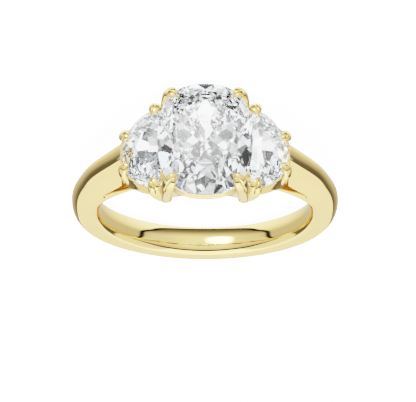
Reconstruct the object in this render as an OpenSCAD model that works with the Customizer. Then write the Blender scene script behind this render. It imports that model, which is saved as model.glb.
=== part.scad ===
// Three stone ring in yellow gold, lying on its side as it rests on a table.
// Every piece is first built upright: the finger goes along Y and the head is at +Z.
// The last step tips the ring over, so that its lower side edge and the end of the
// centre stone touch the table.

/* [Finger hole] */
// Radius of the finger hole
finger_r = 8.25; // [7:0.05:10.5]
// How far the eased inner edge runs up the side face
ease_h = 0.45; // [0.1:0.05:0.6]
// How far the eased inner edge runs in across the finger hole
ease_w = 0.22; // [0.1:0.02:0.4]

/* [Band] */
// Width of the band at the back of the finger
band_w = 2.38; // [1.8:0.02:4]
// Wall of the band from the finger hole to the outer edge of its side face
band_t = 1.47; // [1:0.01:2.2]
// Rise of the domed outside as a share of half the width there
dome_share = 0.45; // [0.2:0.01:0.6]
// How much wider the base ring is under the head
head_flare = 0.52; // [0:0.02:0.8]

/* [Shoulders] */
// Width of a shoulder where it meets the head
shoulder_w = 1.34; // [1:0.02:2.4]
// Radius of the sweep from the band up into a shoulder
shoulder_r = 12.5; // [11:0.1:16]
// How far the sweep stands out past the band's own outline
shoulder_out = 0.18; // [0.05:0.01:0.4]
// Steepness of the straight upper part of a shoulder, in degrees
shoulder_rise = 61.2; // [56:0.2:68]
// Wall of the base ring under the head
bridge_t = 0.8; // [0.6:0.05:1.4]
// Height of the opening between shoulder and base ring at the head
opening_h = 1.0; // [0.5:0.05:1.4]
// Angle from the level of the finger's centre up to the tip of that opening
opening_tip_a = 30; // [24:1:36]

/* [Centre stone] */
// Width of the centre stone across the finger
centre_w = 6.98; // [5.5:0.02:7.6]
// Length of the centre stone along the finger
centre_l = 8.70; // [6.5:0.02:10]
// Height of its girdle above the centre of the finger hole
centre_z = 13.5; // [13:0.05:15]
// Height of its crown above the girdle
centre_crown = 1.05; // [0.7:0.05:1.4]
// Depth of its pavilion below the girdle
centre_pavilion = 3.0; // [2.2:0.05:3.4]
// Squareness of its outline, where 2 is an oval
cushion_power = 2.5; // [2:0.05:3.2]

/* [Half moon stones] */
// Length of a half moon along its straight side
moon_l = 6.38; // [5:0.02:7.4]
// Depth of a half moon from its straight side to the top of its curve
moon_w = 3.40; // [2.6:0.02:3.8]
// How far the straight side lies from the middle of the ring
moon_x = 3.14; // [2.9:0.02:3.8]
// Height of its girdle at the straight side
moon_z = 11.9; // [11.4:0.05:12.4]
// Outward slope of a half moon, in degrees
moon_tilt = 28; // [20:1:34]
// Height of its crown above the girdle
moon_crown = 0.62; // [0.4:0.02:0.9]
// Depth of its pavilion below the girdle
moon_pavilion = 1.45; // [1:0.05:1.8]

/* [Setting] */
// Gap between each stone and the metal round it
stone_gap = 0.04; // [0.02:0.01:0.1]
// Radius of a centre claw at its bend
claw_r = 0.42; // [0.3:0.01:0.55]
// Radius of a half moon claw at its bend
side_claw_r = 0.38; // [0.28:0.01:0.5]
// Height of the centre rail
rail_h = 0.95; // [0.5:0.05:1.3]
// Wall of the centre rail
rail_t = 0.42; // [0.3:0.02:0.6]
// Thickness of the girdle of each stone
girdle_t = 0.2; // [0.1:0.02:0.3]
// Wall of the rim round a half moon
rim_t = 0.5; // [0.3:0.02:0.7]
// Radius of the bars of the under gallery
bar_r = 0.33; // [0.25:0.01:0.45]

/* [Hidden] */
$fn = 48;
gold = [0.88, 0.76, 0.42];
clear_stone = [0.92, 0.94, 0.97, 0.6];
reach = 20;

// The band's outline in the plane of the ring
edge_r = finger_r + band_t;
bridge_r = finger_r + bridge_t;
// Centre of the sweep, which touches the band's outline from inside
sweep_d = shoulder_r - edge_r;
sweep_x = shoulder_r - edge_r - shoulder_out;
sweep_z = sqrt(sweep_d * sweep_d - sweep_x * sweep_x);
sweep_start = 90 - atan2(sweep_z, sweep_x);
// Where the sweep turns into the straight upper part
line_x = sweep_x - shoulder_r * sin(shoulder_rise);
line_z = sweep_z + shoulder_r * cos(shoulder_rise);
line_start = 90 + atan2(line_z, -line_x);

// The half moon's outline is an ellipse cut just short of its middle
moon_cut = 0.2;
moon_a = moon_w + moon_cut;
moon_b = moon_l / 2;
moon_end_a = acos(moon_cut / moon_a);
// The head's outermost reach across the ring, where the shoulders end
head_x = moon_x + moon_w * cos(moon_tilt) - 0.1;
shoulder_end_z = line_z + (head_x + line_x) / -1 * tan(shoulder_rise);
shoulder_end = 90 + atan2(shoulder_end_z, head_x) + 2;

// Where the base ring carries the bars of the under gallery
bar_x = centre_w * 0.4;
bar_z = sqrt(bridge_r * bridge_r - bar_x * bar_x) + bar_r * 0.72;
bar_y = centre_l / 3;

// How the finished ring leans on the table
rest_lean = atan2(centre_l / 2 - band_w / 2, centre_z - girdle_t / 2 + edge_r);

function lerp(a, b, t) = a + (b - a) * t;
function clamp01(t) = min(1, max(0, t));
function ease(t) = (1 - cos(180 * clamp01(t))) / 2;
function sgn_pow(v, p) = sign(v) * pow(abs(v), p);

// Distance from the centre to where a ray meets the sweep, at angle a from the bottom
function sweep_ray(a) =
    let (dx = -sin(a), dz = -cos(a), b = dx * sweep_x + dz * sweep_z)
    b + sqrt(b * b - sweep_x * sweep_x - sweep_z * sweep_z + shoulder_r * shoulder_r);
// The same for the straight upper part
function line_ray(a) =
    let (dx = -sin(a), dz = -cos(a), tx = cos(shoulder_rise), tz = sin(shoulder_rise))
    (line_x * tz - line_z * tx) / (dx * tz - dz * tx);
// Outer edge of the side face, at angle a from the bottom of the ring. Under the head it is
// only the blank's edge, since the space cut there leaves the thinner base ring.
function outline_r(a) =
    a < sweep_start ? edge_r : a < line_start ? sweep_ray(a) : a < shoulder_end ? line_ray(a) : edge_r;

// Half the width at the finger hole, which flares towards the head
function inner_half(z) = band_w / 2 + head_flare / 2 * ease(max(0, z) / finger_r);
// Half the width at the outer edge, which narrows up the shoulders
function outer_half(z) = lerp(band_w / 2, shoulder_w / 2, ease((z + 3) / 8.5));

// Half of the band's section as [distance from the centre, half width], from inside out
dome_steps = [0.95, 0.8, 0.55, 0.25];
function half_section(a) =
    let (ro = outline_r(a), zi = -cos(a) * finger_r, zo = -cos(a) * ro,
         hi = inner_half(zi), is_head = a >= shoulder_end,
         ho = is_head ? hi : outer_half(zo),
         rise = dome_share * ho)
    [[finger_r - 0.3, hi - ease_w - 0.15],
     [finger_r + ease_h * 0.3, hi - ease_w * 0.45],
     [finger_r + ease_h, hi],
     [ro, ho],
     for (s = dome_steps) [ro + rise * sqrt(1 - s * s), ho * s]];
function whole_section(a) =
    let (h = half_section(a), n = len(h), top = h[n - 1].x + 0.03 * dome_share)
    [for (p = h) [p.x, -p.y], [top, 0], for (i = [n - 1 : -1 : 0]) h[i]];

// Stations round the ring, as angles from the bottom
half_stations = [for (a = [0 : 5 : 145]) a, shoulder_end - 0.1, shoulder_end, 162, 171];
stations = [for (a = half_stations) a, 180, for (i = [len(half_stations) - 1 : -1 : 1]) -half_stations[i]];

module band_blank() {
    rings = [for (a = stations) [for (p = whole_section(abs(a)))
        [-sin(a) * p.x, p.y, -cos(a) * p.x]]];
    m = len(rings[0]);
    n = len(rings);
    faces = [for (i = [0 : n - 1], j = [0 : m - 1])
        let (i2 = (i + 1) % n, j2 = (j + 1) % m)
        each [[i * m + j, i2 * m + j2, i2 * m + j], [i * m + j, i * m + j2, i2 * m + j2]]];
    polyhedron(points = [for (r = rings) each r], faces = faces);
}

// The space under the head and the slits below the shoulders, seen along the finger
module head_space() {
    tip_r = bridge_r + 0.02;
    tip = [cos(opening_tip_a) * tip_r, sin(opening_tip_a) * tip_r];
    corner = [head_x, sqrt(bridge_r * bridge_r - head_x * head_x) + opening_h];
    rotate([90, 0, 0])
        linear_extrude(height = reach, center = true)
            difference() {
                polygon([tip, corner, [head_x, reach], [-head_x, reach], [-corner.x, corner.y], [-tip.x, tip.y]]);
                circle(r = bridge_r);
            }
}

module band() {
    difference() {
        band_blank();
        head_space();
    }
}

// Outline of the centre stone, grown by g and scaled by k, in n steps
function cushion(g, k, n, turn = 0) =
    [for (i = [0 : n - 1])
        let (t = 360 * i / n + turn, e = 2 / cushion_power)
        [k * (centre_w / 2 + g) * sgn_pow(cos(t), e), k * (centre_l / 2 + g) * sgn_pow(sin(t), e)]];
// Outline of a half moon in its own plane, grown by g
function half_moon(g, n) =
    [for (i = [0 : n - 1])
        let (t = lerp(-moon_end_a, moon_end_a, i / (n - 1)))
        [-moon_cut + (moon_a + g) * cos(t), (moon_b + g) * sin(t)]];
// The same outline drawn in towards a point, as the table and the pavilion are
function moon_ring(g, k, n, mid) = [for (p = half_moon(g, n)) [lerp(mid, p.x, k), p.y * k]];
// The outline as seen from straight above the head
function moon_plan(g) = [for (p = half_moon(g, 31)) [p.x * cos(moon_tilt), p.y]];

function at_z(pts, z) = [for (p = pts) [p.x, p.y, z]];

// The convex body of a list of points
module facets(pts) {
    hull()
        polyhedron(points = pts, faces = [[for (i = [0 : len(pts) - 1]) i]]);
}

// Brilliant cut centre stone, larger by g on every side for the space that it needs
module centre_body(g) {
    table_k = 0.58;
    break_k = 0.80;
    facets(concat(
        at_z(cushion(g, table_k, 8, 22.5), centre_z + girdle_t / 2 + centre_crown + g),
        at_z(cushion(g, break_k, 8), centre_z + girdle_t / 2 + centre_crown * 0.55 + g),
        at_z(cushion(g, 1, 32), centre_z + girdle_t / 2),
        at_z(cushion(g, 1, 32), centre_z - girdle_t / 2),
        at_z(cushion(g, 0.52, 8), centre_z - girdle_t / 2 - centre_pavilion * 0.5 - g),
        [[0, 0, centre_z - girdle_t / 2 - centre_pavilion - g]]));
}

// Half moon cut stone on the right hand side
module moon_body(g) {
    mid = moon_w * 0.42;
    translate([moon_x, 0, moon_z])
        rotate([0, moon_tilt, 0])
            facets(concat(
                at_z(moon_ring(g, 0.6, 7, mid), girdle_t / 2 + moon_crown + g),
                at_z(concat(half_moon(g, 15), [[-g, -moon_b], [-g, moon_b]]), girdle_t / 2),
                at_z(concat(half_moon(g, 15), [[-g, -moon_b], [-g, moon_b]]), -girdle_t / 2),
                at_z(moon_ring(g, 0.5, 7, mid), -girdle_t / 2 - moon_pavilion * 0.62 - g),
                at_z([[mid, -moon_b * 0.12], [mid, moon_b * 0.12]], -girdle_t / 2 - moon_pavilion - g)));
}

// A round wire from a to b whose radius goes from ra to rb
module wire(a, ra, b, rb) {
    d = b - a;
    translate(a)
        rotate([0, acos(d.z / norm(d)), atan2(d.y, d.x)])
            cylinder(h = norm(d), r1 = ra, r2 = rb);
}

// A claw along a path of points with a radius at each, as [x, y, z, radius]
module claw(path) {
    last = len(path) - 1;
    for (i = [0 : last - 1])
        wire(xyz(path[i]), path[i][3], xyz(path[i + 1]), path[i + 1][3]);
    for (i = [1 : last])
        translate(xyz(path[i]))
            sphere(r = path[i][3] * 1.05);
}
function xyz(p) = [p.x, p.y, p.z];
function flip_y(path, s) = [for (p = path) [p.x, s * p.y, p.z, p[3]]];

// A point of the right hand half moon's own plane, in the ring's frame
function on_moon(x, y, z) =
    [moon_x + x * cos(moon_tilt) + z * sin(moon_tilt), y, moon_z - x * sin(moon_tilt) + z * cos(moon_tilt)];
function with_r(p, r) = [p.x, p.y, p.z, r];

// Claw paths at the front right corner, where y is positive
centre_claw_path = [
    [bar_x, bar_y, bar_z, claw_r * 0.86],
    [centre_w / 2 * 0.78, centre_l / 2 * 0.815, centre_z, claw_r],
    [centre_w / 2 * 0.58, centre_l / 2 * 0.705, centre_z + girdle_t / 2 + centre_crown * 0.45, claw_r * 0.25]];
inner_claw_path = [
    [bar_x, bar_y, bar_z, side_claw_r * 0.9],
    with_r(on_moon(moon_w * 0.10, moon_b * 0.96, -moon_pavilion * 0.75), side_claw_r * 0.95),
    with_r(on_moon(moon_w * 0.19, moon_b * 0.98, -0.04), side_claw_r),
    with_r(on_moon(moon_w * 0.24, moon_b * 0.74, girdle_t / 2 + moon_crown * 0.75), side_claw_r * 0.25)];
outer_claw_path = [
    with_r(on_moon(moon_w * 0.95, moon_b * 0.46, -moon_pavilion * 0.55), side_claw_r * 0.85),
    with_r(on_moon(moon_w * 0.96, moon_b * 0.46, 0), side_claw_r),
    with_r(on_moon(moon_w * 0.85, moon_b * 0.30, girdle_t / 2 + moon_crown * 0.6), side_claw_r * 0.25)];

module centre_basket() {
    rail_top = centre_z - girdle_t / 2 - 0.3;
    for (sx = [0, 1], sy = [-1, 1])
        mirror([sx, 0, 0])
            claw(flip_y(centre_claw_path, sy));
    translate([0, 0, rail_top - rail_h])
        linear_extrude(height = rail_h)
            difference() {
                polygon(cushion(-0.12, 1, 48));
                polygon(cushion(-0.12 - rail_t, 1, 48));
            }
}

// The bars that cross the base ring and the arches that join their ends
module under_gallery() {
    arch_rise = 1.25;
    arch_r = (bar_x * bar_x + arch_rise * arch_rise) / (2 * arch_rise);
    for (sx = [-1, 1])
        wire([sx * bar_x, -bar_y, bar_z], bar_r, [sx * bar_x, bar_y, bar_z], bar_r);
    for (sx = [-1, 1], sy = [-1, 1])
        translate([sx * bar_x, sy * bar_y, bar_z])
            sphere(r = max(claw_r, side_claw_r) * 0.92);
    for (sy = [-1, 1])
        translate([0, sy * bar_y, bar_z + arch_rise - arch_r])
            rotate([90, 0, 0])
                rotate_extrude(angle = 2 * asin(bar_x / arch_r), start = 90 - asin(bar_x / arch_r))
                    translate([arch_r, 0])
                        circle(r = bar_r * 0.8);
}

module side_basket() {
    top_z = moon_z - 0.16;
    rim_end_x = moon_x + moon_w * 0.15;
    rim_out_x = moon_x + (moon_w + rim_t) * cos(moon_tilt);
    rim_drop = 0.95;
    rim_deep = 2.3;
    slope = tan(moon_tilt);
    for (sy = [-1, 1]) {
        claw(flip_y(inner_claw_path, sy));
        claw(flip_y(outer_claw_path, sy));
    }
    intersection() {
        translate([moon_x, 0, 0])
            linear_extrude(height = reach)
                difference() {
                    polygon(moon_plan(rim_t * 0.5));
                    polygon(concat([[-1, -moon_b]], moon_plan(-rim_t * 0.5), [[-1, moon_b]]));
                }
        rotate([90, 0, 0])
            linear_extrude(height = reach, center = true)
                polygon([
                    [rim_end_x, top_z - (rim_end_x - moon_x) * slope],
                    [rim_out_x, top_z - (rim_out_x - moon_x) * slope],
                    [rim_out_x, top_z - (rim_out_x - moon_x) * slope - rim_deep],
                    [lerp(rim_end_x, rim_out_x, 0.5), top_z - (rim_out_x - moon_x) / 2 * slope - rim_drop],
                    [rim_end_x, top_z - (rim_end_x - moon_x) * slope - rim_drop]]);
    }
}

// Tips the upright ring over to where it rests on the table, about the finger hole's centre
module at_rest() {
    rotate([-90 + rest_lean, 0, 0])
        children();
}

module ring_mount() {
    color(gold)
        at_rest()
            difference() {
                union() {
                    band();
                    under_gallery();
                    centre_basket();
                    side_basket();
                    mirror([1, 0, 0])
                        side_basket();
                }
                rotate([90, 0, 0])
                    cylinder(h = reach, r = finger_r, center = true, $fn = 120);
                centre_body(stone_gap);
                moon_body(stone_gap);
                mirror([1, 0, 0])
                    moon_body(stone_gap);
            }
}

module centre_stone() {
    color(clear_stone)
        at_rest()
            centre_body(0);
}

module half_moon_right() {
    color(clear_stone)
        at_rest()
            moon_body(0);
}

module half_moon_left() {
    color(clear_stone)
        at_rest()
            mirror([1, 0, 0])
                moon_body(0);
}

ring_mount();
centre_stone();
half_moon_left();
half_moon_right();
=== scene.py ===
"""Three stone ring in polished yellow gold, lying on its side on a pale table.

Every piece is shaped in the ring's own frame, in millimetres: the finger goes along y and the
head is at +z. rest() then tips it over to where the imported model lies, in metres.
"""

import math

import bmesh
import bpy
import numpy as np
from mathutils import Matrix, Vector


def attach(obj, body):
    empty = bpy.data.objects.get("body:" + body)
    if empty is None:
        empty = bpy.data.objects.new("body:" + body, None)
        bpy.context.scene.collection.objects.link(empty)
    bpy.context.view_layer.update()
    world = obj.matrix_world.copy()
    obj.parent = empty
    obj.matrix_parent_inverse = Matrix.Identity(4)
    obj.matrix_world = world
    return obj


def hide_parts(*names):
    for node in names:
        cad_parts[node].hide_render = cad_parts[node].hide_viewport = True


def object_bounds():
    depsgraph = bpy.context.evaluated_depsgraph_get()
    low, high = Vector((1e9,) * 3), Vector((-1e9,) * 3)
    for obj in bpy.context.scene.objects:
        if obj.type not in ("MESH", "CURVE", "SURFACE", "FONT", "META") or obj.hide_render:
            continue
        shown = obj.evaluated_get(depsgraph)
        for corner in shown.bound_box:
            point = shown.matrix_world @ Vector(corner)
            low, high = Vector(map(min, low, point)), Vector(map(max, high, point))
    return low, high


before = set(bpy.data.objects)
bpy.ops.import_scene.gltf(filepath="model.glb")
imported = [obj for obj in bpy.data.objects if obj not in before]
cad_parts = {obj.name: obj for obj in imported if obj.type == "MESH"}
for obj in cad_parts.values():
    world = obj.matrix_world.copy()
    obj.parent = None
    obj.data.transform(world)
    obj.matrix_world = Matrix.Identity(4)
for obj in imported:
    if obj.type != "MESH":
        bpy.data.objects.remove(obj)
cad_low, cad_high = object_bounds()

# Sizes, in millimetres
MM = 0.001
FINGER_R = 8.25
BAND_W = 2.38
BAND_T = 1.47
EDGE_R = FINGER_R + BAND_T
# the finger hole's wall: how far it is rounded, and the power of its curve
COMFORT_H = 0.47
COMFORT_H_HEAD = 0.28
CORNER = 0.05
ROUNDING_BACK = 2.0
ROUNDING_FRONT = 3.6
ROUNDING_FRONT_SIDE = 6.5
# the domed outside: height as a share of its half width, more of it on the shoulders
DOME_SHARE = 0.50
SHOULDER_SWELL = 0.50
SWELL_Z, SWELL_GROWTH = 4.5, 4.0
SWELL_END_Z, SWELL_LOSS = 13.0, 3.0
CREASE = 0.07
# how much further out the side faces reach at the bottom of the ring
FOOT_OUT = 0.16
HEAD_FLARE = 0.52
SHOULDER_W = 1.34
TAPER_Z, TAPER_LENGTH = -3.0, 8.5
SHOULDER_R = 12.5
SHOULDER_OUT = 0.18
SHOULDER_RISE = math.radians(61.2)

CENTRE_W, CENTRE_L = 6.98, 8.70
CENTRE_Z = 13.5
CENTRE_CROWN, CENTRE_PAVILION = 1.05, 3.0
CUSHION = 2.5
GIRDLE = 0.2

MOON_L, MOON_W = 6.38, 3.40
MOON_X, MOON_Z = 3.14, 11.9
MOON_TILT = math.radians(28)
MOON_CROWN, MOON_PAVILION = 0.62, 1.45
# how much of the half moon is cut off along its straight side
MOON_CUT = 0.2
# the rim wall's thickness where a shoulder runs in, and its slope elsewhere
RIM_OUT = 0.22
RIM_FLARE = 0.26

LEAN = math.atan2(CENTRE_L / 2 - BAND_W / 2, CENTRE_Z - GIRDLE / 2 + EDGE_R)
TIP_OVER = Matrix.Rotation(-math.pi / 2 + LEAN, 3, "X")
TURN = np.array(TIP_OVER)


def rest(points):
    """Points of the upright ring in millimetres, where they lie on the table in metres."""
    return np.asarray(points, float).reshape(-1, 3) @ TURN.T * MM


def lerp(a, b, t):
    return a + (b - a) * t


def ease(t):
    return (1 - math.cos(math.pi * min(1.0, max(0.0, t)))) / 2


# Mesh helpers
SAME_POINT, SAME_CORNER = 1e-5, 1e-6


def new_piece(name, bm, smooth=True, sharp_deg=None):
    """A piece from a bmesh whose points are in the ring's frame."""
    bmesh.ops.remove_doubles(bm, verts=bm.verts, dist=SAME_POINT)
    bmesh.ops.recalc_face_normals(bm, faces=bm.faces)
    co = rest([v.co for v in bm.verts])
    for v, p in zip(bm.verts, co):
        v.co = p
    mesh = bpy.data.meshes.new(name)
    bm.to_mesh(mesh)
    bm.free()
    for p in mesh.polygons:
        p.use_smooth = smooth
    if smooth and sharp_deg is not None:
        mesh.set_sharp_from_angle(angle=math.radians(sharp_deg))
    piece = bpy.data.objects.new(name, mesh)
    bpy.context.scene.collection.objects.link(piece)
    return piece


def grid(bm, rows, wrap=False, around=False):
    """Faces between rows of points. wrap joins the last row to the first, around closes each row."""
    made = [[bm.verts.new(p) for p in row] for row in rows]
    n, m = len(made), len(made[0])
    for i in range(n if wrap else n - 1):
        for j in range(m if around else m - 1):
            a, b = made[i][j], made[(i + 1) % n][j]
            c, d = made[(i + 1) % n][(j + 1) % m], made[i][(j + 1) % m]
            corners = []
            for v in (a, b, c, d):
                if all((v.co - u.co).length > SAME_CORNER for u in corners):
                    corners.append(v)
            if len(corners) > 2:
                bm.faces.new(corners)
    return made


def cap(bm, row):
    """Closes one end of a tube with a fan."""
    middle = bm.verts.new(sum((v.co for v in row), Vector()) / len(row))
    for i, v in enumerate(row):
        bm.faces.new((middle, v, row[(i + 1) % len(row)]))


def tube(bm, rows):
    """A tube through closed rows of points, capped at both ends."""
    made = grid(bm, rows, around=True)
    cap(bm, made[0])
    cap(bm, made[-1])


def spline(points, steps):
    """A smooth run through rows of numbers, steps to each stretch."""
    p = np.asarray(points, float)
    before, after = 2 * p[0] - p[1], 2 * p[-1] - p[-2]
    q = np.vstack([[before], p, [after]])
    out = []
    for i in range(1, len(q) - 2):
        for k in range(steps):
            t = k / steps
            out.append(0.5 * ((2 * q[i]) + (q[i + 1] - q[i - 1]) * t
                              + (2 * q[i - 1] - 5 * q[i] + 4 * q[i + 1] - q[i + 2]) * t * t
                              + (3 * q[i] - q[i - 1] - 3 * q[i + 1] + q[i + 2]) * t ** 3))
    out.append(p[-1])
    return np.array(out)


PAD_SQUARENESS = 5
PAD_EDGE, PAD_CREST = 0.72, 0.34
VEIN_START, VEIN_GROWTH = 0.45, 0.15


def wire(bm, path, heart, sides=24, steps=8, pad=False, vein=0.0):
    """A tube along rows of x, y, z, half width and half thickness. The thickness faces away from
    heart. pad flattens its outer side, with a crest along the middle, and vein cuts a groove
    along the crest on the half towards the tip."""
    run = spline(path, steps)
    pos, wide, thick = run[:, :3], run[:, 3], run[:, 4]
    tangent = np.gradient(pos, axis=0)
    tangent /= np.linalg.norm(tangent, axis=1)[:, None]
    rows = []
    for i, (p, t) in enumerate(zip(pos, tangent)):
        out = p - np.asarray(heart, float)
        out -= t * (out @ t)
        out /= np.linalg.norm(out)
        side = np.cross(t, out)
        row = []
        for k in range(sides):
            f = 2 * math.pi * k / sides
            lift = math.cos(f)
            if pad and lift > 0:
                off_middle = abs(math.sin(f))
                flat = math.sqrt(1 - off_middle ** PAD_SQUARENESS)
                lift = flat * (PAD_EDGE + PAD_CREST * (1 - off_middle))
            if k == 0:
                lift -= vein * ease((i / len(run) - VEIN_START) / VEIN_GROWTH)
            row.append(p + side * wide[i] * math.sin(f) + out * thick[i] * lift)
        rows.append(row)
    tube(bm, rows)


# Band, shoulders and base ring
SWEEP_D = SHOULDER_R - EDGE_R
SWEEP_X = SWEEP_D - SHOULDER_OUT
SWEEP_Z = math.sqrt(SWEEP_D ** 2 - SWEEP_X ** 2)
SWEEP_START = math.pi / 2 - math.atan2(SWEEP_Z, SWEEP_X)
LINE_X = SWEEP_X - SHOULDER_R * math.sin(SHOULDER_RISE)
LINE_Z = SWEEP_Z + SHOULDER_R * math.cos(SHOULDER_RISE)
LINE_START = math.pi / 2 + math.atan2(LINE_Z, -LINE_X)
# angles from the bottom of the ring
FOOT_END_A, FOOT_FADE_A = math.radians(97), math.radians(32)
OUTLINE_END_A = math.radians(152)
COMFORT_FULL_A, COMFORT_FADE_A = math.radians(95), math.radians(40)
FRONT_SAME_A, FRONT_FADE_A = math.radians(25), math.radians(30)
# the fork, where the shoulder leaves the base ring under the head
FORK_DEG = 120
FORK_A = math.radians(FORK_DEG)
STEP_DEG = 2
SPLIT_R = 9.03
BASE_TOP_R = 8.78
BASE_THIN_A = math.radians(20)
FORK_END_X = 6.30
UNDER_STEEP = math.radians(57)
# rounding of the edges in the fork, and how soon it is reached on the ring and the shoulder
FORK_EDGE = 0.07
FORK_EDGE_A, FORK_EDGE_SHARE = math.radians(8), 0.25
SHOULDER_STEPS = 25
# points along a rounded corner, the finger hole's wall and the dome
ARC_SHARES = (0, 0.25, 0.5, 0.75, 1)
WALL_STEPS, WALL_START, WALL_CROWDING = 24, 0.03, 1.4
DOME_STEPS, DOME_START = 16, 0.92


def outline_r(a):
    """Outer edge of the side face at angle a from the bottom of the ring."""
    dx, dz = -math.sin(a), -math.cos(a)
    foot = FOOT_OUT * ease((FOOT_END_A - a) / FOOT_FADE_A)
    if a < SWEEP_START:
        return EDGE_R + foot
    if a < LINE_START:
        b = dx * SWEEP_X + dz * SWEEP_Z
        return foot + b + math.sqrt(b * b - SWEEP_X ** 2 - SWEEP_Z ** 2 + SHOULDER_R ** 2)
    tx, tz = math.cos(SHOULDER_RISE), math.sin(SHOULDER_RISE)
    return (LINE_X * tz - LINE_Z * tx) / (dx * tz - dz * tx)


def inner_half(z):
    """Half width of the ring at the finger hole, at height z."""
    return BAND_W / 2 + HEAD_FLARE / 2 * ease(max(0.0, z) / FINGER_R)


def outer_half(z):
    """Half width of the ring at the side faces' outer edge, at height z."""
    return lerp(BAND_W / 2, SHOULDER_W / 2, ease((z - TAPER_Z) / TAPER_LENGTH))


def comfort(a):
    """How far the finger hole's rounded wall stands in from the side faces at angle a."""
    return lerp(COMFORT_H, COMFORT_H_HEAD, ease((abs(a) - COMFORT_FULL_A) / COMFORT_FADE_A))


def side_half(x, z):
    """Half width of the ring at a point of its side face."""
    r = math.hypot(x, z)
    a = math.acos(max(-1.0, min(1.0, -z / r)))
    edge_r = outline_r(min(a, OUTLINE_END_A))
    hi = inner_half(-math.cos(a) * FINGER_R)
    ho = outer_half(-math.cos(a) * edge_r)
    t = (r - FINGER_R - comfort(a)) / (edge_r - FINGER_R - comfort(a))
    return lerp(hi, ho, min(1.0, max(0.0, t)))


def at(a, r, y):
    """The point at angle a from the bottom of the ring, r from its axis."""
    return (math.sin(a) * r, y, -math.cos(a) * r)


def section_at(a, r):
    return at(a, r, 0)[::2]


def arc_point(start, corner, end, t):
    """A point of the rounded corner between start and end, at share t of its run."""
    return tuple((1 - t) ** 2 * start + 2 * t * (1 - t) * corner + t * t * end)


def inner_row(a, split_r):
    """From the split on one side face, round the finger hole's wall, to the split on the other."""
    hi = inner_half(-math.cos(a) * FINGER_R)
    h = comfort(math.pi - abs(math.pi - abs(a)))
    sides = []
    turned = min(abs(a), 2 * math.pi - abs(a))
    to_side = ease((turned - FRONT_SAME_A) / FRONT_FADE_A)
    front_power = lerp(ROUNDING_FRONT, ROUNDING_FRONT_SIDE, to_side)
    for power in (ROUNDING_BACK, front_power):
        steep = math.atan(power * h / hi)
        corner = np.array([FINGER_R + h, hi])
        start = corner + [CORNER, 0]
        end = corner - np.array([math.sin(steep), math.cos(steep)]) * CORNER
        half = [(split_r, side_half(*section_at(a, split_r)))]
        for t in ARC_SHARES:
            half.append(arc_point(start, corner, end, t))
        for k in 1 - np.linspace(WALL_START, 1, WALL_STEPS)[:-1] ** WALL_CROWDING:
            half.append((FINGER_R + h * k ** power, hi * k))
        sides.append(half)
    rows = sides[0] + [(FINGER_R, 0.0)] + [(r, -y) for r, y in sides[1][::-1]]
    return [at(a, r, y) for r, y in rows]


def outer_row(base, tip, half_base, half_tip, ease_in):
    """From the split on one side, over the domed outside, to the split on the other. base and tip
    are the lower and upper end of the side face, as x and z, and the row starts ease_in above
    the base."""
    base, tip = np.asarray(base, float), np.asarray(tip, float)
    d = tip - base
    length = np.linalg.norm(d)
    d /= length
    grown, left = ease((tip[1] - SWELL_Z) / SWELL_GROWTH), ease((SWELL_END_Z - tip[1]) / SWELL_LOSS)
    share = DOME_SHARE + SHOULDER_SWELL * grown * left
    rise = share * half_tip
    edge_slope = 2 * math.atan(share)
    arc_r = half_tip / math.sin(edge_slope)
    half = [(k, lerp(half_base, half_tip, k / length)) for k in (ease_in, length / 2)]
    # crease between side face and dome, rounded by polishing
    turn = CREASE * math.tan((math.pi / 2 - edge_slope) / 2)
    lead = np.array([length - turn, half_tip])
    tail = np.array([length + turn * math.sin(edge_slope), half_tip - turn * math.cos(edge_slope)])
    tip_at = np.array([length, half_tip])
    for t in ARC_SHARES:
        half.append(arc_point(lead, tip_at, tail, t))
    for slope in edge_slope * np.linspace(DOME_START, 0, DOME_STEPS):
        half.append((length + rise - arc_r * (1 - math.cos(slope)), arc_r * math.sin(slope)))
    rows = half + [(k, -y) for k, y in half[-2::-1]]
    return [(base[0] + d[0] * k, y, base[1] + d[1] * k) for k, y in rows]


def across(base, d, half, f):
    """The narrow face between the two side faces, with its edges eased by f."""
    ys = [half, half - 0.3 * f, half - f, half * 0.6, half * 0.3, 0.0]
    up = [f, 0.3 * f, 0.0, 0.0, 0.0, 0.0]
    rows = list(zip(up, ys)) + [(u, -y) for u, y in list(zip(up, ys))[-2::-1]]
    return [(base[0] + d[0] * u, y, base[1] + d[1] * u) for u, y in rows]


def base_r(a):
    """Outer edge of the base ring under the head."""
    return lerp(SPLIT_R, BASE_TOP_R, ease((abs(a) - FORK_A) / BASE_THIN_A))


def top_ease(half_a):
    """How far the base ring's upper edges are rounded, growing from the fork on."""
    return FORK_EDGE * ease((half_a - FORK_A) / FORK_EDGE_A)


def build_base_ring():
    """The narrow ring that closes the finger hole under the head, between the two forks."""
    bm = bmesh.new()
    inner, tops = [], []
    for degrees in range(FORK_DEG, 360 - FORK_DEG + 1, STEP_DEG):
        a = math.radians(degrees)
        half_a = min(a, 2 * math.pi - a)
        f = top_ease(half_a)
        r = base_r(half_a)
        inner.append(inner_row(a, r - f))
        half = side_half(*section_at(a, r - f))
        tops.append(across(section_at(a, r), (-math.sin(a), math.cos(a)), half, f))
    grid(bm, inner)
    grid(bm, tops)
    for i in (0, -1):
        cap(bm, [bm.verts.new(p) for p in inner[i] + tops[i][-2:0:-1]])
    return new_piece("base_ring", bm, sharp_deg=50)


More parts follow.
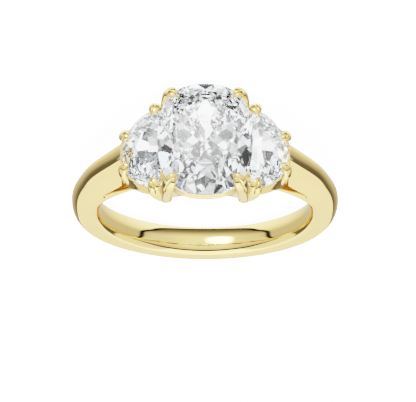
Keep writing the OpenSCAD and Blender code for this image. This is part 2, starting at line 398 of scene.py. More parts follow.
def build_band():
    """The band with its two shoulders. Faces on the shoulders' undersides take the second material, a
    deeper orange gold that is a painted reflection of gold in gold.
    """
    bm = bmesh.new()
    lower = [math.radians(degrees) for degrees in range(-FORK_DEG, FORK_DEG + 1, STEP_DEG)]
    # finger hole's wall and the side faces' inner part
    rows = [inner_row(a, SPLIT_R) for a in lower]
    grid(bm, rows)
    for row in (rows[0], rows[-1]):
        x, half, z = row[0]
        closing = across((x, z), (0, 0), half, 0.0)
        cap(bm, [bm.verts.new(p) for p in row + closing[-2:0:-1]])
    # domed outside below the fork
    domes = []
    for a in lower:
        r = outline_r(abs(a))
        base, edge = section_at(a, SPLIT_R), section_at(a, r)
        domes.append(outer_row(base, edge, side_half(*base), outer_half(edge[1]), 0.0))
    grid(bm, domes)
    # shoulders above the fork
    tip = np.array(section_at(FORK_A, SPLIT_R))
    reach_x = tip[0] - FORK_END_X
    end_z = LINE_Z + (-LINE_X - FORK_END_X) * math.tan(SHOULDER_RISE)
    end_a = math.pi - math.atan2(FORK_END_X, end_z)
    for sx in (-1, 1):
        outs, unders = [], []
        for s in np.linspace(0, 1, SHOULDER_STEPS):
            u = tip + np.array([-reach_x * s, reach_x * s * math.tan(UNDER_STEEP)])
            a = lerp(FORK_A, end_a, s)
            o = np.array(section_at(a, outline_r(a)))
            d = (o - u) / np.linalg.norm(o - u)
            f = FORK_EDGE * ease(s / FORK_EDGE_SHARE)
            hu = side_half(*(u + d * f))
            ho = outer_half(o[1])
            outs.append([(sx * x, y, z) for x, y, z in outer_row(u, o, hu, ho, f)])
            unders.append([(sx * x, y, z) for x, y, z in across(u, d, hu, f)])
        made = grid(bm, outs)
        under = grid(bm, unders)
        # the shoulders' undersides, in the fork, get the painted reflection colour
        painted_reflection_verts = {v for row in under for v in row}
        for face in bm.faces:
            if painted_reflection_verts.issuperset(face.verts):
                face.material_index = 1
        cap(bm, made[-1] + under[-1][-2:0:-1])
    return new_piece("band", bm, sharp_deg=50)


# Stones
def cushion_reach(phi):
    """How far the centre stone's outline reaches in direction phi."""
    q = CUSHION / (CUSHION - 1)
    along_x, along_y = CENTRE_W / 2 * abs(math.cos(phi)), CENTRE_L / 2 * abs(math.sin(phi))
    return (along_x ** q + along_y ** q) ** (1 / q)


def carve(bm, planes):
    """Cuts a closed body by planes given as (point, outward normal), and closes each cut."""
    for point, normal in planes:
        geom = list(bm.verts) + list(bm.edges) + list(bm.faces)
        bmesh.ops.bisect_plane(bm, geom=geom, dist=SAME_POINT, plane_co=point, plane_no=normal,
                               clear_outer=True)
        edges = [e for e in bm.edges if e.is_boundary]
        if edges:
            bmesh.ops.contextual_create(bm, geom=edges)


def block(bm, low, high):
    """The box that a stone is cut from."""
    bmesh.ops.create_cube(bm, size=1.0)
    for v in bm.verts:
        v.co = Vector([lerp(low[i], high[i], v.co[i] + 0.5) for i in range(3)])


def facet(phi, slope, reach, z):
    """A plane that faces phi, leans by slope and passes reach out from the axis at height z."""
    n = (math.cos(phi) * math.sin(slope), math.sin(phi) * math.sin(slope), math.cos(slope))
    return (math.cos(phi) * reach, math.sin(phi) * reach, z), n


TABLE_SHARE = 0.56
STAR_SLOPE = math.radians(21)
UPPER_STEEP, UPPER_DEPTH = 1.22, 0.44
GIRDLE_FACETS = 64
TIER_DROP = 1.06
# the blank that the stone is cut from: half its width, and how far it stands past the stone
BLANK_HALF, BLANK_BELOW, BLANK_ABOVE = 6, 0.3, 1
# facets to a round, turn in facets, steepness, and how far out each tier starts
PAVILION_TIERS = (
    (24, 0.5, 1.40, 1.0),
    (16, 0.0, 1.20, 0.97),
    (16, 0.5, 1.06, 0.80),
    (12, 0.0, 0.94, 0.60),
    (8, 0.5, 0.80, 0.42))


def build_centre_stone():
    """Table, stars, bezels, upper girdle facets, girdle and pavilion."""
    top, low = CENTRE_Z + GIRDLE / 2, CENTRE_Z - GIRDLE / 2
    table_z = top + CENTRE_CROWN
    planes = [((0, 0, table_z), (0, 0, 1))]
    eighth = math.pi / 4
    # stars round the table
    star = []
    for k in range(8):
        phi = eighth * (k + 0.5)
        h = cushion_reach(phi)
        star.append((phi, h * TABLE_SHARE))
        planes.append(facet(phi, STAR_SLOPE, h * TABLE_SHARE, table_z))
    # bezels, through the corners that the stars leave in the table
    for k in range(8):
        phi = eighth * k
        h = cushion_reach(phi)
        (p0, d0), (p1, d1) = star[k - 1], star[k]
        m = np.array([[math.cos(p0), math.sin(p0)], [math.cos(p1), math.sin(p1)]])
        corner = np.linalg.solve(m, [d0, d1])
        along = corner @ [math.cos(phi), math.sin(phi)]
        planes.append(facet(phi, math.atan(CENTRE_CROWN / (h - along)), h, top))
    # upper girdle facets
    for k in range(16):
        phi = eighth / 2 * (k + 0.5)
        h = cushion_reach(phi)
        planes.append(facet(phi, math.atan(CENTRE_CROWN * UPPER_STEEP / (h * UPPER_DEPTH)), h, top))
    # girdle
    for k in range(GIRDLE_FACETS):
        phi = 2 * math.pi * (k + 0.5) / GIRDLE_FACETS
        h = cushion_reach(phi)
        planes.append(((math.cos(phi) * h, math.sin(phi) * h, top), (math.cos(phi), math.sin(phi), 0)))
    # pavilion in crushed-ice tiers, down to the culet
    for count, turn, slope, start in PAVILION_TIERS:
        for k in range(count):
            phi = 2 * math.pi * (k + turn) / count
            h = cushion_reach(phi)
            tilt = math.atan(CENTRE_PAVILION * slope / h)
            p, n = facet(phi, tilt, h * start, low - CENTRE_PAVILION * (1 - start) * TIER_DROP)
            planes.append((p, (n[0], n[1], -n[2])))
    bm = bmesh.new()
    block(bm, (-BLANK_HALF, -BLANK_HALF, low - CENTRE_PAVILION - BLANK_BELOW),
          (BLANK_HALF, BLANK_HALF, table_z + BLANK_ABOVE))
    carve(bm, planes)
    return new_piece("centre_stone_cut", bm, smooth=False)


MOON_END = math.radians(84)
MOON_GIRDLE_FACETS = 40
# facets, slope, how far out and how far from the girdle each tier starts
MOON_CROWN_TIERS = (
    (14, math.radians(44), 1.0, 0.0),
    (9, math.radians(34), 0.97, 0.03),
    (8, math.radians(22), 0.70, 0.66))
MOON_PAVILION_TIERS = (
    (16, math.radians(45), 1.0, 0.0),
    (11, math.radians(40), 0.97, 0.06),
    (14, math.radians(35), 0.80, 0.34),
    (9, math.radians(30), 0.60, 0.62),
    (6, math.radians(24), 0.40, 0.82))
# facets along the straight side: where, as shares of its half length, and how steep
STRAIGHT_PLACES = (-0.66, -0.22, 0.22, 0.66)
STRAIGHT_FAN = 0.9
STRAIGHT_CROWN, STRAIGHT_PAVILION = math.radians(36), math.radians(50)
MOON_BLANK_HALF, MOON_BLANK_BEHIND, MOON_BLANK_ABOVE = 5, 1, 1


def build_half_moon(sx):
    """Cut with its straight side at x 0, then tilted and moved to its place."""
    top, low = GIRDLE / 2, -GIRDLE / 2
    a, b = MOON_W + MOON_CUT, MOON_L / 2

    def reach(phi):
        return math.hypot(a * math.cos(phi), b * math.sin(phi))

    def curved(phi, slope, share, z, down):
        h = reach(phi)
        n = (math.cos(phi) * math.sin(slope), math.sin(phi) * math.sin(slope), math.cos(slope))
        p = (-MOON_CUT + math.cos(phi) * h * share, math.sin(phi) * h * share, z)
        return (p, (n[0], n[1], -n[2])) if down else (p, n)

    planes = [((0, 0, top + MOON_CROWN), (0, 0, 1)), ((0, 0, 0), (-1, 0, 0))]
    for k in range(MOON_GIRDLE_FACETS):
        phi = lerp(-MOON_END, MOON_END, k / (MOON_GIRDLE_FACETS - 1))
        planes.append(((-MOON_CUT + math.cos(phi) * reach(phi), math.sin(phi) * reach(phi), 0),
                       (math.cos(phi), math.sin(phi), 0)))
    for count, slope, share, rise in MOON_CROWN_TIERS:
        for k in range(count):
            phi = lerp(-MOON_END, MOON_END, (k + 0.5) / count)
            planes.append(curved(phi, slope, share, top + MOON_CROWN * rise, False))
    for count, slope, share, drop in MOON_PAVILION_TIERS:
        for k in range(count):
            phi = lerp(-MOON_END, MOON_END, (k + 0.5) / count)
            planes.append(curved(phi, slope, share, low - MOON_PAVILION * drop, True))
    for place in STRAIGHT_PLACES:
        phi = math.pi + place * STRAIGHT_FAN
        for slope, z, way_up in ((STRAIGHT_CROWN, top, 1), (STRAIGHT_PAVILION, low, -1)):
            n = (math.cos(phi) * math.sin(slope), -math.sin(phi) * math.sin(slope),
                 way_up * math.cos(slope))
            planes.append(((0, place * b, z), n))
    bm = bmesh.new()
    block(bm, (-MOON_BLANK_BEHIND, -MOON_BLANK_HALF, low - MOON_PAVILION),
          (MOON_BLANK_HALF, MOON_BLANK_HALF, top + MOON_CROWN + MOON_BLANK_ABOVE))
    carve(bm, planes)
    c, s = math.cos(MOON_TILT), math.sin(MOON_TILT)
    for v in bm.verts:
        x, y, z = v.co
        v.co = (sx * (MOON_X + x * c + z * s), y, MOON_Z - x * s + z * c)
    return new_piece("half_moon_cut_" + ("right" if sx > 0 else "left"), bm, smooth=False)


# Setting
# claws as rows of x, y, z, half width and half thickness, from foot to tip
CENTRE_CLAW = [
    (3.05, 2.84, 8.52, 0.03, 0.03),
    (3.04, 2.90, 8.60, 0.20, 0.20),
    (3.00, 3.02, 9.05, 0.32, 0.30),
    (2.94, 3.28, 10.3, 0.45, 0.34),
    (2.84, 3.53, 12.0, 0.51, 0.34),
    (2.73, 3.64, 13.2, 0.51, 0.34),
    (2.60, 3.57, 13.86, 0.52, 0.32),
    (2.40, 3.37, 14.17, 0.45, 0.26),
    (2.18, 3.19, 14.22, 0.27, 0.16),
    (1.95, 3.01, 14.10, 0.02, 0.02)]
INNER_CLAW = [
    (3.03, 2.80, 8.56, 0.03, 0.03),
    (3.06, 2.87, 8.64, 0.20, 0.20),
    (3.20, 3.04, 9.35, 0.33, 0.30),
    (3.42, 3.24, 10.4, 0.45, 0.33),
    (3.60, 3.32, 11.2, 0.50, 0.34),
    (3.69, 3.22, 11.8, 0.51, 0.31),
    (3.82, 2.96, 12.06, 0.43, 0.24),
    (3.92, 2.68, 12.08, 0.29, 0.15),
    (4.02, 2.38, 11.92, 0.02, 0.02)]
OUTER_CLAW = [
    (5.50, 1.95, 9.3, 0.26, 0.20),
    (5.86, 1.74, 9.95, 0.38, 0.28),
    (6.08, 1.50, 10.45, 0.43, 0.33),
    (6.04, 1.30, 10.84, 0.40, 0.30),
    (5.88, 1.12, 11.04, 0.30, 0.21),
    (5.74, 0.98, 11.07, 0.16, 0.12),
    (5.62, 0.86, 11.02, 0.02, 0.02)]


# each claw's outer side faces away from a point inside its stone
CLAWS = (
    ("centre_claws", CENTRE_CLAW, (0, 0, 12.5)),
    ("inner_claws", INNER_CLAW, (4.2, 0, 10.6)),
    ("outer_claws", OUTER_CLAW, (4.0, 0, 10.4)))
VEIN_DEPTH = 0.34


def mirrored(path, sx, sy):
    return [(sx * p[0], sy * p[1], *p[2:]) for p in path]


def build_claws():
    """Three pieces of four claws each."""
    pieces = []
    for name, path, heart in CLAWS:
        bm = bmesh.new()
        for sx in (-1, 1):
            for sy in (-1, 1):
                h = (sx * heart[0], sy * heart[1], heart[2])
                wire(bm, mirrored(path, sx, sy), h, sides=40, pad=True, vein=VEIN_DEPTH)
        pieces.append(new_piece(name, bm, sharp_deg=60))
    return pieces


def cushion_point(t, inset):
    """A point of the centre stone's outline drawn in by inset, at turn t."""
    a, b, e = CENTRE_W / 2 - inset, CENTRE_L / 2 - inset, 2 / CUSHION
    c, s = math.cos(t), math.sin(t)
    return math.copysign(a * abs(c) ** e, c), math.copysign(b * abs(s) ** e, s)


# inset and height of the rail's section, from the top outside down and back up inside
RAIL_SECTION = (
    (0.20, 13.10), (0.12, 13.06), (0.07, 12.98), (0.07, 12.86), (0.12, 12.80), (0.20, 12.77),
    (0.20, 12.72), (0.12, 12.68), (0.06, 12.60), (0.05, 12.40), (0.09, 12.22), (0.20, 12.12),
    (0.40, 12.10), (0.50, 12.25), (0.50, 12.66), (0.24, 13.04))
RAIL_STEPS = 144


def build_rail():
    """Two slim rails one over the other, with a groove between them."""
    bm = bmesh.new()
    rows = []
    for k in range(RAIL_STEPS):
        t = 2 * math.pi * k / RAIL_STEPS
        rows.append([(*cushion_point(t, i), z) for i, z in RAIL_SECTION])
    grid(bm, rows, wrap=True, around=True)
    return new_piece("centre_rail", bm, sharp_deg=40)


# bars along the finger, with a ball at each end where the claws' feet meet
BAR_X, BAR_END_Y = 2.8, 2.9
BAR_MIDDLE_Y = 1
BAR_END_Z, BAR_MIDDLE_Z = 8.78, 8.82
BAR_SECTION = (0.32, 0.30)
BALL_R, BALL_Z = 0.36, 8.83
# walls between the feet and the rail
ARCH_HALF_X, ARCH_FLANK = 2.75, 1.9
ARCH_LOW_Z, ARCH_TOP_Z, ARCH_RISE = 8.9, 12.3, 3.4
ARCH_FOOT_Y, ARCH_INSET = 2.98, 0.22
ARCH_LEAN = 0.8
ARCH_T = 0.32
ARCH_STEPS = 48


def build_gallery():
    """Bars, balls and arches under the centre stone."""
    bm = bmesh.new()
    for sx in (-1, 1):
        x = sx * BAR_X
        places = ((-BAR_END_Y, BAR_END_Z), (-BAR_MIDDLE_Y, BAR_MIDDLE_Z),
                  (BAR_MIDDLE_Y, BAR_MIDDLE_Z), (BAR_END_Y, BAR_END_Z))
        wire(bm, [(x, y, z, *BAR_SECTION) for y, z in places], (x, 0, 0))
        for sy in (-1, 1):
            ball = bmesh.ops.create_uvsphere(bm, u_segments=32, v_segments=20, radius=BALL_R)
            bmesh.ops.translate(bm, verts=ball["verts"], vec=(x, sy * BAR_END_Y, BALL_Z))
    # curved walls, scalloped below
    for sy in (-1, 1):
        rows = []
        for k in range(ARCH_STEPS + 1):
            x = lerp(-ARCH_HALF_X, ARCH_HALF_X, k / ARCH_STEPS)
            outline_y = CENTRE_L / 2 * (1 - (abs(x) / (CENTRE_W / 2)) ** CUSHION) ** (1 / CUSHION)
            top_y = outline_y - ARCH_INSET
            low_z = lerp(ARCH_LOW_Z, ARCH_TOP_Z, ease((ARCH_HALF_X - abs(x)) / ARCH_FLANK))
            low_y = lerp(ARCH_FOOT_Y, top_y, ((low_z - ARCH_LOW_Z) / ARCH_RISE) ** ARCH_LEAN)
            section = [(top_y, ARCH_TOP_Z),
                       (lerp(low_y, top_y, 0.5) + 0.03, lerp(low_z, ARCH_TOP_Z, 0.5)),
                       (low_y, low_z + 0.06), (low_y - 0.06, low_z),
                       (low_y - ARCH_T, low_z), (top_y - ARCH_T, ARCH_TOP_Z)]
            rows.append([(x, sy * y, z) for y, z in section])
        tube(bm, rows)
    return new_piece("under_gallery", bm, sharp_deg=45)


# the wall starts and ends this share of the stone's width from the straight side
RIM_START = 0.15
RIM_BELOW_STONE = 0.10
# the wall's lower edge: height against x
RIM_EDGE_X = (3.6, 4.1, 5.05, 5.85, 6.2, 6.6)
RIM_EDGE_Z = (10.90, 10.66, 10.05, 8.45, 8.0, 7.9)
# at its two ends the wall is only part as deep
RIM_TIP_A, RIM_TIP_DEPTH = 0.10, 0.45
RIM_OUT_END_A, RIM_OUT_FADE_A = 0.85, 0.45
RIM_FLARE_A, RIM_FLARE_FADE_A = 0.35, 0.5
RIM_STEPS = 80


def build_rims():
    """The two walls round the half moons' curved sides."""
    bm = bmesh.new()
    a, b = MOON_W + MOON_CUT, MOON_L / 2
    end = math.acos((MOON_CUT + MOON_W * RIM_START) / a)
    c = math.cos(MOON_TILT)
    for sx in (-1, 1):
        rows = []
        for k in range(RIM_STEPS + 1):
            t = lerp(-end, end, k / RIM_STEPS)
            px, py = (-MOON_CUT + a * math.cos(t)) * c, b * math.sin(t)
            nx, ny = math.cos(t) / a, math.sin(t) / b
            nn = math.hypot(nx, ny)
            nx, ny = nx / nn, ny / nn
            x = MOON_X + px
            top = MOON_Z - RIM_BELOW_STONE - px * math.tan(MOON_TILT)
            low = float(np.interp(x, RIM_EDGE_X, RIM_EDGE_Z))
            depth = 1 - ease((abs(t) - (end - RIM_TIP_A)) / RIM_TIP_A)
            low = lerp(lerp(top, low, RIM_TIP_DEPTH), low, depth)
            # fuller where the shoulder runs in
            out = RIM_OUT * ease((RIM_OUT_END_A - abs(t)) / RIM_OUT_FADE_A)
            flare = RIM_FLARE * ease((abs(t) - RIM_FLARE_A) / RIM_FLARE_FADE_A)
            # section with rounded edges, how far out and how high
            section = [(out, top), (out + 0.06, top - 0.04),
                       (out + 0.07 + flare * 0.5, lerp(top, low, 0.5)),
                       (out + 0.09 + flare, low + 0.07), (out + 0.03 + flare, low),
                       (-0.2, low), (-0.3, low + 0.1), (-0.3, top - 0.44), (-0.08, top - 0.11)]
            rows.append([(sx * (x + nx * o), py + ny * o, z) for o, z in section])
        tube(bm, rows)
    return new_piece("side_rims", bm, sharp_deg=40)


band = build_band()
small_metal = [build_base_ring(), build_rail(), build_gallery(), build_rims()] + build_claws()
centre_stone = build_centre_stone()
moons = [build_half_moon(-1), build_half_moon(1)]


# Materials
DIAMOND_IOR = 2.417
# what gold throws back at a flat angle, against white for a grey metal
GRAZING_TINT = (1.0, 0.92, 0.76, 1)
# how fine the noise is, as cells to a metre, and the polish as roughness
ALLOY_CLOUDS, POLISH_GRAIN, STONE_CLOUDS = 260, 4200, 420
SMOOTHEST, ROUGHEST = 0.045, 0.075


def gold_material(name, shade, light_shade):
    """Polished gold whose colour drifts between the two shades."""
    mat = bpy.data.materials.new(name)
    mat.use_nodes = True
    nodes, links = mat.node_tree.nodes, mat.node_tree.links
    shader = nodes["Principled BSDF"]
    shader.inputs["Metallic"].default_value = 1.0
    shader.inputs["Specular Tint"].default_value = GRAZING_TINT
    coords = nodes.new("ShaderNodeTexCoord")
    # slight clouding of the alloy's colour
    cloud = nodes.new("ShaderNodeTexNoise")
    cloud.inputs["Scale"].default_value = ALLOY_CLOUDS
    cloud.inputs["Detail"].default_value = 3
    tint = nodes.new("ShaderNodeValToRGB")
    tint.color_ramp.elements[0].position = 0.35
    tint.color_ramp.elements[0].color = shade
    tint.color_ramp.elements[1].position = 0.65
    tint.color_ramp.elements[1].color = light_shade
    # polish left by the wheel: fine grain in the gloss
    grain = nodes.new("ShaderNodeTexNoise")
    grain.inputs["Scale"].default_value = POLISH_GRAIN
    grain.inputs["Detail"].default_value = 4
    gloss = nodes.new("ShaderNodeMapRange")
    gloss.inputs["From Min"].default_value = 0.3
    gloss.inputs["From Max"].default_value = 0.7
    gloss.inputs["To Min"].default_value = SMOOTHEST
    gloss.inputs["To Max"].default_value = ROUGHEST
    links.new(coords.outputs["Object"], cloud.inputs["Vector"])
    links.new(coords.outputs["Object"], grain.inputs["Vector"])
    links.new(cloud.outputs["Fac"], tint.inputs["Fac"])
    links.new(tint.outputs["Color"], shader.inputs["Base Color"])
    links.new(grain.outputs["Fac"], gloss.inputs["Value"])
    links.new(gloss.outputs["Result"], shader.inputs["Roughness"])
    return mat


def diamond_material():
    """Clear stone with the refraction of diamond."""
    mat = bpy.data.materials.new("diamond")
    mat.use_nodes = True
    nodes, links = mat.node_tree.nodes, mat.node_tree.links
    shader = nodes["Principled BSDF"]
    shader.inputs["Roughness"].default_value = 0.0
    shader.inputs["IOR"].default_value = DIAMOND_IOR
    shader.inputs["Transmission Weight"].default_value = 1.0
    # the faintest cast of colour, cloud by cloud
    coords = nodes.new("ShaderNodeTexCoord")
    cloud = nodes.new("ShaderNodeTexNoise")
    cloud.inputs["Scale"].default_value = STONE_CLOUDS
    cloud.inputs["Detail"].default_value = 2
    tint = nodes.new("ShaderNodeValToRGB")
    tint.color_ramp.elements[0].position = 0.4
    tint.color_ramp.elements[0].color = (0.965, 0.985, 1.0, 1)
    tint.color_ramp.elements[1].position = 0.6
    tint.color_ramp.elements[1].color = (1.0, 1.0, 1.0, 1)
    links.new(coords.outputs["Object"], cloud.inputs["Vector"])
    links.new(cloud.outputs["Fac"], tint.inputs["Fac"])
    links.new(tint.outputs["Color"], shader.inputs["Base Color"])
    return mat


GOLD_SHADES = (0.99, 0.690, 0.235, 1), (1.0, 0.715, 0.265, 1)
# painted reflection: a deep orange gold that stands in for gold mirrored in gold, between the
# shoulders and the base ring
PAINTED_REFLECTION_GOLD_SHADES = (0.48, 0.22, 0.025, 1), (0.52, 0.25, 0.03, 1)

gold = gold_material("yellow_gold", *GOLD_SHADES)
gold_painted_reflection = gold_material("gold_painted_reflection", *PAINTED_REFLECTION_GOLD_SHADES)
diamond = diamond_material()
for piece in [band] + small_metal:
    piece.data.materials.append(gold)
    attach(piece, "root")
    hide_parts("ring_mount")
    # the stones gather the room's light alone
    piece.visible_transmission = False
# the second slot holds the painted reflection of gold in gold under the shoulders
band.data.materials.append(gold_painted_reflection)
# the small pieces aren't mirrored, as they would show as specks in the stones and the band
for piece in small_metal:
    piece.visible_glossy = False
stones = (
    (centre_stone, "centre_stone"),
    (moons[0], "half_moon_left"),
    (moons[1], "half_moon_right"))
for piece, node in stones:
    piece.data.materials.append(diamond)
    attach(piece, "root")
    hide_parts(node)


# Floor, light and camera
FLOOR_HALF = 0.6
FLOOR_SHADE = (0.86, 0.86, 0.86, 1)
# the table glows a little, so that it comes out as even and pale as the photograph's
FLOOR_GLOW = 5.5


def build_floor():
    """A pale matt table at the height of the ring's lowest point."""
    z = cad_low.z
    r = FLOOR_HALF
    mesh = bpy.data.meshes.new("floor")
    mesh.from_pydata([(-r, -r, z), (r, -r, z), (r, r, z), (-r, r, z)], [], [(0, 1, 2, 3)])
    floor = bpy.data.objects.new("floor", mesh)
    bpy.context.scene.collection.objects.link(floor)
    mat = bpy.data.materials.new("table")
    mat.use_nodes = True
    shader = mat.node_tree.nodes["Principled BSDF"]
    shader.inputs["Base Color"].default_value = FLOOR_SHADE
    shader.inputs["Roughness"].default_value = 0.9
    shader.inputs["Specular IOR Level"].default_value = 0.0
    shader.inputs["Emission Color"].default_value = (1, 1, 1, 1)
    shader.inputs["Emission Strength"].default_value = FLOOR_GLOW
    mesh.materials.append(mat)
    floor.visible_glossy = False
    floor.visible_transmission = False


class Tree:
    """Short names for the few node kinds that the studio's light is made of."""

    def __init__(self, tree):
        self.tree = tree
        tree.nodes.clear()

    def put(self, socket, value):
        """Links a socket to another's output, or sets it to a plain value."""
        if hasattr(value, "is_linked"):
            self.tree.links.new(value, socket)
        else:
            socket.default_value = value

    def node(self, kind, **settings):
        made = self.tree.nodes.new(kind)
        for key, value in settings.items():
            setattr(made, key, value)
        return made

    def math(self, op, *values):
        made = self.node("ShaderNodeMath", operation=op)
        for socket, value in zip(made.inputs, values):
            self.put(socket, value)
        return made.outputs["Value"]

    def dot(self, a, b):
        made = self.node("ShaderNodeVectorMath", operation="DOT_PRODUCT")
        self.put(made.inputs[0], a)
        self.put(made.inputs[1], b)
        return made.outputs["Value"]

    def fade(self, value, start, end, low=0.0, high=1.0, soft=True):
        """From low to high as value goes from start to end, which may also run downwards."""
        made = self.node("ShaderNodeMapRange", interpolation_type="SMOOTHSTEP" if soft else "LINEAR")
        self.put(made.inputs["Value"], value)
        for name, v in (("From Min", start), ("From Max", end), ("To Min", low), ("To Max", high)):
            made.inputs[name].default_value = v
        return made.outputs["Result"]

    def mix(self, share, a, b):
        """a where share is 0, b where it is 1."""
        return self.math("ADD", self.math("MULTIPLY", a, self.math("SUBTRACT", 1.0, share)),
                         self.math("MULTIPLY", b, share))


def standing(x, y, z):
    """A direction of the upright ring, as a direction of the room."""
    return tuple(TIP_OVER @ Vector((x, y, z)).normalized())


# how bright each part of the studio is
WALL_SIDES, WALL_BEHIND, WALL_FAR_BEHIND = 0.15, 0.95, 2.6
PANEL_FOOT, PANEL_TOP, SIDE_PANELS = 2.0, 3.6, 1.7
LAMP_BACK, LAMP_MIDDLE, LAMP_SPOT = 0.22, 2.0, 9.0
SPARKLE, SPARKLE_PATCHES = 4.6, 3.4
BLUE_PATCH = (0.70, 0.87, 1, 1)
# the colour mix node has several sockets called A and B, so these go by number
MIX_A, MIX_B, MIX_RESULT = 6, 7, 2


def room_wall(t, out_side, back, up):
    """Light behind the ring and low down, dim at its sides, with three panels before it."""
    behind = t.fade(back, 0.35, 1.0, 0.0, WALL_FAR_BEHIND, False)
    wall = t.math("ADD", t.fade(back, -0.24, 0.38, WALL_SIDES, WALL_BEHIND), behind)
    # tall soft panel in front, which narrows towards the back
    panel = t.fade(up, -0.95, -0.2, PANEL_FOOT, PANEL_TOP, False)
    narrowing = t.math("MULTIPLY", t.math("MAXIMUM", t.math("ADD", back, 0.28), 0.0), 1.1)
    in_panel = t.fade(t.math("ADD", out_side, narrowing), 0.60, 0.48)
    edge = t.math("MULTIPLY", in_panel, t.fade(back, 0.16, 0.02))
    wall = t.mix(t.math("MULTIPLY", edge, t.fade(up, 0.56, 0.50)), wall, panel)
    # one panel at each side
    low_front = t.math("SUBTRACT", up, t.math("MULTIPLY", back, 0.5))
    beside = t.math("MULTIPLY", t.fade(out_side, 0.42, 0.54), t.fade(low_front, -0.28, -0.19))
    return t.mix(t.math("MULTIPLY", beside, t.fade(back, 0.12, -0.05)), wall, SIDE_PANELS)


def overhead_lamp(t, way, out_side, tilt):
    """Lamp from side to side, brightest at its middle and in one spot behind it."""
    deg = math.radians
    lamp = t.fade(tilt, deg(-78), deg(-26), LAMP_BACK, LAMP_MIDDLE)
    lamp = t.math("MULTIPLY", lamp, t.fade(tilt, deg(0), deg(45), 1.0, 0.62))
    lamp = t.math("MULTIPLY", lamp, t.fade(out_side, 0.25, 0.75, 1.0, 0.72))
    spot = t.dot(way, standing(-0.26, 0.35, 0.90))
    return t.math("ADD", lamp, t.fade(spot, 0.955, 0.998, 0.0, LAMP_SPOT))


def build_world():
    """The studio that metal and stones mirror, in the upright ring's directions."""
    world = bpy.data.worlds.new("studio")
    bpy.context.scene.world = world
    world.use_nodes = True
    t = Tree(world.node_tree)
    way = t.node("ShaderNodeTexCoord").outputs["Generated"]
    out_side = t.math("ABSOLUTE", t.dot(way, standing(1, 0, 0)))
    back = t.dot(way, standing(0, 1, 0))
    up = t.dot(way, standing(0, 0, 1))
    tilt = t.math("ARCTAN2", t.math("MULTIPLY", back, -1.0), up)
    wall = room_wall(t, out_side, back, up)
    lamp = overhead_lamp(t, way, out_side, tilt)
    # the lamp ends at a height that changes from back to front, with a dark gap below it
    deg = math.radians
    rise = t.math("ADD", t.fade(back, 0.98, 0.66, 0.10, 0.27), t.fade(back, 0.34, -0.20, 0.0, -0.20))
    above = t.math("SUBTRACT", up, rise)
    over = t.math("MULTIPLY", t.fade(above, 0.0, 0.07), t.fade(tilt, deg(47), deg(43)))
    hole = t.math("MULTIPLY", t.fade(above, -0.10, -0.04), t.fade(tilt, deg(61), deg(57)))
    wall = t.math("MULTIPLY", wall, t.math("SUBTRACT", 1.0, hole))
    light = t.math("ADD", wall, t.math("MULTIPLY", lamp, over))
    # what the stones gather from every side is paler and more even
    patches = t.node("ShaderNodeTexVoronoi", feature="F1")
    t.put(patches.inputs["Vector"], way)
    patches.inputs["Scale"].default_value = SPARKLE_PATCHES
    sparkle = t.fade(t.dot(patches.outputs["Color"], (1, 0, 0)), 0.30, 0.95, 0.0, SPARKLE, False)
    path = t.node("ShaderNodeLightPath")
    light = t.mix(path.outputs["Is Transmission Ray"], light, sparkle)
    # a few of the patches come back blue
    blue = t.fade(t.dot(patches.outputs["Color"], (0, 1, 0)), 0.82, 0.90)
    tint = t.node("ShaderNodeMix", data_type="RGBA")
    t.put(tint.inputs["Factor"], t.math("MULTIPLY", blue, path.outputs["Is Transmission Ray"]))
    tint.inputs[MIX_A].default_value = (1, 1, 1, 1)
    tint.inputs[MIX_B].default_value = BLUE_PATCH
    shade = t.node("ShaderNodeBackground")
    t.put(shade.inputs["Color"], tint.outputs[MIX_RESULT])
    t.put(shade.inputs["Strength"], light)
    t.tree.links.new(shade.outputs["Background"], t.node("ShaderNodeOutputWorld").inputs["Surface"])


LAMP_SIZE, LAMP_POWER = 0.5, 9.0
LAMP_PLACE = (0.02, 0.0, 0.45)


def build_lights():
    """A soft lamp for the table alone; the metal and stones mirror the room."""
    data = bpy.data.lights.new("table_lamp", "AREA")
    data.shape = "DISK"
    data.size = LAMP_SIZE
    data.energy = LAMP_POWER
    lamp = bpy.data.objects.new("table_lamp", data)
    bpy.context.scene.collection.objects.link(lamp)
    lamp.location = LAMP_PLACE
    lamp.visible_glossy = False
    lamp.visible_transmission = False
    lamp.visible_camera = False


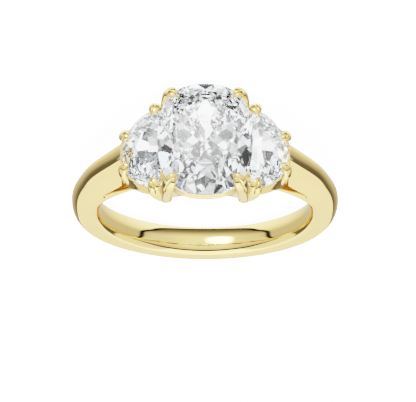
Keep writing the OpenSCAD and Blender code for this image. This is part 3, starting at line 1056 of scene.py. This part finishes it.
# The camera was solved from the edges of the finger hole in the photograph: height over the
# ring's plane, distance in millimetres, pixels to a millimetre, the ring's centre in pixels, roll
CAM_E = math.radians(69.49)
CAM_D = 204.0
CAM_S = 12.79
CAM_CENTRE = (205.02, 203.52)
CAM_ROLL = math.radians(-0.11)
IMAGE = (416, 402)


def build_camera():
    """The photograph's camera, moved along with the ring as it was tipped over."""
    toward = Vector((0, -math.cos(CAM_E), math.sin(CAM_E)))
    right = Vector((1, 0, 0))
    up = toward.cross(right)
    cr, sr = math.cos(CAM_ROLL), math.sin(CAM_ROLL)
    right, up = right * cr - up * sr, right * sr + up * cr
    axes = Matrix((right, up, toward)).transposed()
    data = bpy.data.cameras.new("camera")
    cam = bpy.data.objects.new("camera", data)
    bpy.context.scene.collection.objects.link(cam)
    data.sensor_width = 36
    data.lens = CAM_S * CAM_D * data.sensor_width / IMAGE[0]
    data.shift_x = (IMAGE[0] / 2 - CAM_CENTRE[0]) / IMAGE[0]
    data.shift_y = (CAM_CENTRE[1] - IMAGE[1] / 2) / IMAGE[0]
    data.clip_start, data.clip_end = 0.01, 10
    spot = TIP_OVER @ (toward * CAM_D) * MM
    cam.matrix_world = Matrix.Translation(spot) @ (TIP_OVER @ axes).to_4x4()
    bpy.context.scene.camera = cam


build_floor()
build_world()
build_lights()
build_camera()

scene = bpy.context.scene
scene.view_settings.view_transform = "Standard"
# a film-like curve, which pales the brightest gold as the photograph does
WHITE = 8.0
FILM_POWER = 1.4
FILM_POINTS = (0.01, 0.025, 0.045, 0.07, 0.1, 0.14, 0.19, 0.26, 0.35, 0.47, 0.62, 0.8)


def film_curve(x):
    return x / (1 + x ** FILM_POWER) ** (1 / FILM_POWER)


scene.view_settings.use_curve_mapping = True
film = scene.view_settings.curve_mapping
film.white_level = (WHITE, WHITE, WHITE)
film.extend = "HORIZONTAL"
for x in FILM_POINTS:
    film.curves[3].points.new(x, film_curve(WHITE * x) / film_curve(WHITE))
film.update()
scene.cycles.max_bounces = 24
scene.cycles.glossy_bounces = 16
scene.cycles.transmission_bounces = 24
scene.cycles.use_denoising = True
scene.cycles.caustics_reflective = False
scene.cycles.caustics_refractive = False
